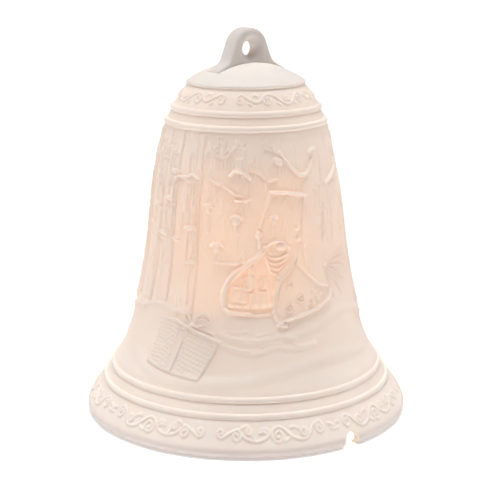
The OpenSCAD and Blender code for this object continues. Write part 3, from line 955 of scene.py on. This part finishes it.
LUG_LOW, LUG_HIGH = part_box("hanging_lug")
LUG_T = (LUG_HIGH[0] - LUG_LOW[0]) / MM
HOLE_Z, HOLE_R = 168.0, 3.3
HEAD_R = LUG_HIGH[2] / MM - HOLE_Z
FOOT_R = LUG_HIGH[1] / MM - 1.5
FLANK = math.radians(22)
LUG_ROUND = 1.6
LUG_JOINT_Z = 158.5  # below this the lug's edges are joined to the crown, and not rounded
DISH_LEFT = 1.5  # half the lug's thickness at the edge of its hole


def dome_height(r):
    """The crown's height at a distance from the axis."""
    return DOME_Z + math.sqrt(DOME_R**2 - r * r)


def lug_outline(steps=16):
    """Half of the lug's outline, from the top of the head down to under the foot, as (y, z)."""
    down = np.array([math.sin(FLANK), -math.cos(FLANK)])
    head = arc((0, HOLE_Z), HEAD_R, 90, 22, steps)
    knee = head[-1] + 8 * down
    foot = np.array([FOOT_R, dome_height(FOOT_R) + 0.5])
    flank = np.linspace(head[-1], knee, 7)[1:-1]
    sweep = bezier([knee, knee + 3.0 * down, foot + (-2.6, 2.0), foot], 18)
    edge = [(FOOT_R + 0.2, foot[1] - 0.4), (FOOT_R, dome_height(FOOT_R) - 0.6)]
    under = [(y, dome_height(y) - 1.2) for y in np.linspace(FOOT_R - 1, 0.0, 16)]
    return np.vstack([head, flank, sweep, edge, under])


def segment_distance(points, ring):
    """How far each point is from a closed line."""
    a, b = ring, np.roll(ring, -1, axis=0)
    d = b - a
    t = ((points[:, None] - a) * d).sum(2) / ((d * d).sum(1) + 1e-12)
    near = a + np.clip(t, 0, 1)[..., None] * d
    return np.linalg.norm(points[:, None] - near, axis=2).min(axis=1)


def lug_mesh():
    """A plate with rounded edges and a dished hole: rings of points from the hole out to the outline."""
    half = lug_outline()
    ring = np.vstack([half, (half * (-1, 1))[-2:0:-1]])
    turns = np.unwrap(np.arctan2(ring[:, 1] - HOLE_Z, ring[:, 0]))
    hole = np.column_stack([HOLE_R * np.cos(turns), HOLE_Z + HOLE_R * np.sin(turns)])
    mouth = LUG_T / 2 - DISH_LEFT
    front_side, back_side = [], []
    for share in (0, 0.015, 0.04, 0.075, 0.12, 0.18, 0.26, 0.36, 0.48, 0.6, 0.72, 0.82, 0.9, 0.95, 0.98, 1):
        points = hole + (ring - hole) * share
        to_hole = np.linalg.norm(points - (0, HOLE_Z), axis=1) - HOLE_R
        to_edge = segment_distance(points, ring)
        dish = np.clip(1 - to_hole / mouth, 0, 1) ** 1.15
        bevel = np.where(points[:, 1] < LUG_JOINT_Z, 0, np.clip(1 - to_edge / LUG_ROUND, 0, 1))
        x = LUG_T / 2 - mouth * (0.25 * (1 - np.sqrt(1 - dish**2)) + 0.75 * dish) * 1.12
        x -= LUG_ROUND * (1 - np.sqrt(1 - bevel**2))
        front_side.append(np.column_stack([x, points]))
        back_side.append(np.column_stack([-x, points]))
    loops = front_side + back_side[::-1]
    mesh = new_mesh("lug", loops, tube_faces(len(loops), len(ring)))
    face_outwards(mesh)
    return mesh


def lug():
    """The pierced lug on the crown."""
    obj = add("porcelain_lug", lug_mesh(), "bell", "hanging_lug")
    # The lug is the bell's porcelain with a darker base colour: painted shade on the lug.
    obj.data.materials.append(bisque("bisque_lug_painted_shade", (0.87, 0.79, 0.74)).material)


# --- Bulb cap ---

PITCH = 2.822  # of an E14 thread
CREST_R = 6.95
THREAD_POINTS = 72


def thread_mesh():
    """The bulb's cap as it is pressed: a rounded screw thread between a plain foot and a flared collar."""
    low, high = (v[2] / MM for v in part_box("bulb_cap"))
    turn = np.arange(THREAD_POINTS) / THREAD_POINTS
    a = turn * 2 * math.pi
    skin = []
    for z in np.linspace(low, high, 86):
        share = (z - low) / (high - low)
        live = fade(share, 0.12, 0.03) * fade(share, 0.7, 0.8)
        wave = 0.5 - 0.5 * np.cos(2 * math.pi * ((z - low) / PITCH - turn))
        r = CREST_R - 0.75 * live * wave
        r = r + 0.62 * fade(share, 0.98, 0.84) - 0.5 * fade(share, 0.0, 0.05)
        skin.append(np.column_stack([r * np.cos(a), r * np.sin(a), np.full(THREAD_POINTS, z)]))
    loops = skin + [ring * (0.94, 0.94, 1) for ring in skin[::-1]]
    return new_mesh("cap", loops, tube_faces(len(loops), THREAD_POINTS))


def bulb_thread():
    """The bulb's threaded cap, in the CAD cap's own nickel."""
    obj = add("bulb_thread", thread_mesh(), "bulb", "bulb_cap")
    obj.data.materials.append(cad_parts["bulb_cap"].material_slots[0].material)


# --- Materials ---


class Nodes:
    """Short names for making a Principled material's nodes."""

    def __init__(self, name):
        self.material = bpy.data.materials.new(name)
        self.material.use_nodes = True
        self.tree = self.material.node_tree
        self.bsdf = self.tree.nodes["Principled BSDF"]
        self.place = self.add("TexCoord").outputs["Object"]

    def add(self, kind, **values):
        node = self.tree.nodes.new("ShaderNode" + kind)
        for key, value in values.items():
            setattr(node, key, value)
        return node

    def link(self, a, b):
        self.tree.links.new(a, b)

    def value(self, socket, value):
        self.bsdf.inputs[socket].default_value = value

    def noise(self, scale, detail=4.0, rough=0.5):
        node = self.add("TexNoise")
        node.inputs["Scale"].default_value = scale
        node.inputs["Detail"].default_value = detail
        node.inputs["Roughness"].default_value = rough
        self.link(self.place, node.inputs["Vector"])
        return node.outputs["Fac"]

    def ramp(self, source, *stops):
        """A colour between two, by a number and the number that each colour stands at."""
        node = self.add("ValToRGB")
        for element, (place, colour) in zip(node.color_ramp.elements, stops):
            element.position = place
            element.color = (*colour, 1)
        self.link(source, node.inputs["Fac"])
        return node.outputs["Color"]

    def mix(self, share, under, colour, blend="MULTIPLY"):
        """A colour laid over another, as far as the share says."""
        node = self.add("Mix", data_type="RGBA", blend_type=blend)
        self.link(share, node.inputs[0])
        self.link(under, node.inputs[6])
        node.inputs[7].default_value = (*colour, 1)
        return node.outputs[2]

    def span(self, source, low, high, start=0.0, end=1.0):
        """Maps start..end onto low..high."""
        node = self.add("MapRange")
        for socket, value in (("From Min", start), ("From Max", end), ("To Min", low), ("To Max", high)):
            node.inputs[socket].default_value = value
        self.link(source, node.inputs["Value"])
        return node.outputs["Result"]

    def from_glow(self):
        """The distance from the filament, in metres."""
        node = self.add("VectorMath", operation="DISTANCE")
        self.link(self.place, node.inputs[0])
        node.inputs[1].default_value = GLOW_CENTRE
        return node.outputs["Value"]

    def math(self, operation, a, b=None, clamp=False):
        node = self.add("Math", operation=operation, use_clamp=clamp)
        for socket, value in zip(node.inputs, (a, b)):
            if value is None:
                continue
            if isinstance(value, (int, float)):
                socket.default_value = value
            else:
                self.link(value, socket)
        return node.outputs["Value"]

    def bump(self, source, distance, strength=1.0):
        node = self.add("Bump")
        node.inputs["Distance"].default_value = distance
        node.inputs["Strength"].default_value = strength
        self.link(source, node.inputs["Height"])
        self.link(node.outputs["Normal"], self.bsdf.inputs["Normal"])


# The glow is painted light: emission fixed in the porcelain's material by place, which stands in for the
# bulb's light coming through and stays on the bell when it is lifted.
GLOW = 0.24  # strength of the light that comes through the porcelain
GLOW_COLOUR = (1.0, 0.38, 0.12, 1)
EULER = 2.718  # light fades by powers of it


def bisque(name, colour):
    """Unglazed porcelain: a dry, finely grained white with a little light under its surface."""
    n = Nodes(name)
    n.value("Subsurface Weight", 0.2)
    n.value("Subsurface Radius", (1.0, 0.6, 0.4))
    n.value("Subsurface Scale", 0.0005)
    n.value("Specular IOR Level", 0.25)
    low = tuple(c * 0.965 for c in colour)
    high = tuple(min(1, c * 1.025) for c in colour)
    n.white = n.ramp(n.noise(38, 5, 0.6), (0.3, low), (0.7, high))
    n.link(n.span(n.noise(900, 3), 0.62, 0.8), n.bsdf.inputs["Roughness"])
    n.bump(n.noise(2600, 3, 0.7), 0.00006, 0.5)
    n.link(n.white, n.bsdf.inputs["Base Color"])
    return n


def lit_bisque(name, colour):
    """The same porcelain with painted light: a painted glow from inside, a base colour warmed where it glows,
    painted shade in the hollows and at the foot, and painted highlights on the ridges.
    """
    n = bisque(name, colour)
    through = transmitted(n)
    # Painted glow: the porcelain emits the light that would come through it from the bulb.
    n.link(through, n.bsdf.inputs["Emission Strength"])
    n.value("Emission Color", GLOW_COLOUR)
    hollow = n.add("Attribute", attribute_name="hollow").outputs["Fac"]
    height = n.add("SeparateXYZ")
    n.link(n.place, height.inputs[0])
    foot = n.span(height.outputs["Z"], 0, 1, 0.0065, 0.001)  # greyer towards the bottom edge: painted shade at the foot
    # Painted light: the base colour is warmed where the painted glow is strong.
    white = n.mix(n.math("MULTIPLY", through, 0.8 / GLOW, clamp=True), n.white, (0.99, 0.94, 0.87))
    # Painted shade: the base colour is darker in the relief's hollows, where shade falls.
    white = n.mix(n.math("MULTIPLY", hollow, 0.8, clamp=True), white, (0.82, 0.79, 0.77))
    # Painted highlight: the base colour is paler on the ridges, where light falls.
    white = n.mix(n.math("MULTIPLY", hollow, -0.9, clamp=True), white, (1.0, 0.975, 0.95), "MIX")
    n.link(n.mix(foot, white, (0.76, 0.81, 0.87)), n.bsdf.inputs["Base Color"])
    return n.material


def transmitted(n):
    """The painted glow: emission that stands in for the bulb's light coming through, less with distance, and
    less where the relief is thick.
    """
    nearness = n.math("POWER", n.math("DIVIDE", 0.046, n.from_glow()), 2.0)
    thickness = n.add("Attribute", attribute_name="wall").outputs["Fac"]
    straight = n.math("POWER", EULER, n.math("MULTIPLY", thickness, -0.45))
    scattered = n.math("POWER", EULER, n.math("MULTIPLY", thickness, -0.2))
    cloud = n.math("MULTIPLY", n.span(n.noise(45, 3), 0.82, 1.18), GLOW)
    direct = n.math("MULTIPLY", n.math("MULTIPLY", nearness, straight), cloud)
    return n.math("ADD", direct, n.math("MULTIPLY", scattered, 0.3 * GLOW))


def plain(name, colour, roughness, variation, scale, grain, bump, **sockets):
    """A moulded or worked surface: slight cloudiness, roughness that varies, and a fine grain."""
    n = Nodes(name)
    for socket, value in sockets.items():
        n.value(socket.replace("_", " "), value)
    low = tuple(c * (1 - variation) for c in colour)
    high = tuple(min(1, c * (1 + variation)) for c in colour)
    n.link(n.ramp(n.noise(scale, 4, 0.6), (0.35, low), (0.65, high)), n.bsdf.inputs["Base Color"])
    n.link(n.span(n.noise(scale * 5, 4), roughness * 0.8, roughness * 1.2), n.bsdf.inputs["Roughness"])
    n.bump(n.noise(grain, 3), bump)
    return n.material


def lit_glass(name):
    """Frosted bulb glass, lit by the filament behind it."""
    n = Nodes(name)
    n.value("Emission Color", (1.0, 0.62, 0.26, 1))
    n.value("IOR", 1.5)
    milky = n.ramp(n.noise(90, 3), (0.3, (0.55, 0.47, 0.38)), (0.7, (0.62, 0.54, 0.45)))
    n.link(milky, n.bsdf.inputs["Base Color"])
    n.link(n.span(n.noise(700, 3), 0.28, 0.42), n.bsdf.inputs["Roughness"])
    near = n.math("DIVIDE", 0.0125, n.from_glow())
    n.link(n.math("MULTIPLY", n.math("POWER", near, 1.6), 0.9), n.bsdf.inputs["Emission Strength"])
    n.bump(n.noise(1500, 2), 0.00002)
    return n.material


def paint(material, *nodes):
    """Gives CAD nodes their material."""
    for node in nodes:
        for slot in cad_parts[node].material_slots:
            slot.link = "OBJECT"
            slot.material = material


def paint_lamp():
    """The materials of the base and the lampholder."""
    paint(
        plain("ivory_plastic", (0.84, 0.81, 0.73), 0.42, 0.02, 50, 3000, 0.00003),
        "base_housing", "base_cover", "cord_clamp",
    )
    paint(
        plain("holder_plastic", (0.87, 0.85, 0.80), 0.22, 0.02, 50, 900, 0.00001),
        "holder_cap", "holder_skirt",
    )
    paint(plain("dark_rubber", (0.03, 0.03, 0.03), 0.75, 0.2, 120, 1800, 0.00005), "rubber_feet", "cord_bush")
    paint(
        plain("zinc_steel", (0.62, 0.62, 0.64), 0.35, 0.08, 150, 1500, 0.00001, Metallic=1.0),
        "cover_screws", "clamp_screws", "grub_screw", "terminal_screws", "nipple_washer",
    )
    paint(
        plain("brass", (0.78, 0.58, 0.27), 0.3, 0.1, 130, 1500, 0.00001, Metallic=1.0),
        "nipple", "nipple_nut", "screw_shell", "centre_contact",
    )
    paint(plain("steatite", (0.82, 0.8, 0.75), 0.4, 0.03, 80, 1600, 0.00003), "contact_carrier")


def paint_bulb():
    """The materials of the bulb, apart from its threaded cap."""
    paint(plain("solder", (0.6, 0.6, 0.6), 0.42, 0.12, 400, 2500, 0.00004, Metallic=1.0), "bulb_tip")
    paint(plain("vitrite", (0.015, 0.015, 0.02), 0.08, 0.3, 200, 900, 0.00001), "bulb_insulator")
    paint(
        plain("clear_glass", (0.93, 0.96, 0.95), 0.05, 0.02, 90, 600, 0.00001, Transmission_Weight=0.9),
        "bulb_stem",
    )
    paint(plain("wire", (0.5, 0.48, 0.45), 0.35, 0.1, 300, 2500, 0.00001, Metallic=1.0), "lead_wires")
    paint(lit_glass("lit_glass"), "bulb_glass")
    hot = {"Emission_Color": (1, 0.6, 0.3, 1), "Emission_Strength": 6.0}
    paint(plain("tungsten", (1.0, 0.6, 0.3), 0.5, 0.05, 300, 2500, 0.00001, **hot), "filament")


# --- Stage ---


def studio_white(obj, name, scale, glow):
    """A white that glows a little, so that the picture's ground stays even."""
    obj.name = name
    n = Nodes(name)
    cloudy = n.ramp(n.noise(scale, 2), (0.3, (0.9, 0.9, 0.9)), (0.7, (0.92, 0.92, 0.92)))
    n.link(cloudy, n.bsdf.inputs["Base Color"])
    n.value("Emission Color", (1, 1, 1, 1))
    n.value("Emission Strength", glow)
    obj.data.materials.append(n.material)
    return n


def floor():
    """A plain pale floor."""
    bpy.ops.mesh.primitive_plane_add(size=14)
    n = studio_white(bpy.context.object, "floor", 1.2, 0.27)
    n.value("Roughness", 0.9)
    n.value("Specular IOR Level", 0.1)


def backdrop():
    """A white studio wall all round, which lights nothing."""
    bpy.ops.mesh.primitive_uv_sphere_add(segments=64, ring_count=32, radius=6.5)
    obj = bpy.context.object
    studio_white(obj, "backdrop", 0.5, 1.0)
    obj.visible_diffuse = False
    obj.visible_glossy = False
    obj.visible_shadow = False


def facing(turn, down):
    """The rotation that looks at the axis, from some degrees round the bell's front, tipped down."""
    return (math.radians(90 - down), 0, math.radians(FRONT + turn + 90))


def sun(name, turn, elevation, softness, power):
    """Even light from one side, by degrees round from the front and up from the floor."""
    light = bpy.data.lights.new(name, "SUN")
    light.energy = power
    light.angle = math.radians(softness)
    put(name, light).rotation_euler = facing(turn, elevation)


def bulb_light():
    """The bulb's own light: a ball just round its glass."""
    light = bpy.data.lights.new("bulb_light", "POINT")
    light.energy = 0.6
    light.color = (1.0, 0.93, 0.84)
    light.shadow_soft_size = 0.0176
    obj = put("bulb_light", light)
    obj.location = GLOW_CENTRE
    obj.visible_camera = False


def lights():
    """A faint sky, soft light from above and from both sides, and the bulb."""
    world = bpy.data.worlds.new("studio")
    bpy.context.scene.world = world
    world.use_nodes = True
    background = world.node_tree.nodes["Background"]
    background.inputs["Color"].default_value = (1.0, 0.99, 0.98, 1)
    background.inputs["Strength"].default_value = 0.02
    sun("overhead", 0, 90, 30, 2.62)
    sun("left", -97, 22, 40, 0.52)
    sun("right", 108, 22, 40, 0.47)
    bulb_light()


def camera():
    """The product picture's view: a long lens in front of the bell, a little above."""
    data = bpy.data.cameras.new("camera")
    data.lens = 97
    data.sensor_width = 36
    data.shift_x = 0.008
    obj = put("camera", data)
    front_angle = math.radians(FRONT)
    distance, height, down = 0.611, 0.2226, 13.63  # metres from the axis and up, and degrees
    obj.location = (distance * math.cos(front_angle), distance * math.sin(front_angle), height)
    obj.rotation_euler = facing(0, down)
    bpy.context.scene.camera = obj


# --- Build ---

camera()
lights()
floor()
backdrop()
bpy.context.scene.view_settings.view_transform = "Standard"

bell()
lug()
paint_lamp()
bulb_thread()
paint_bulb()
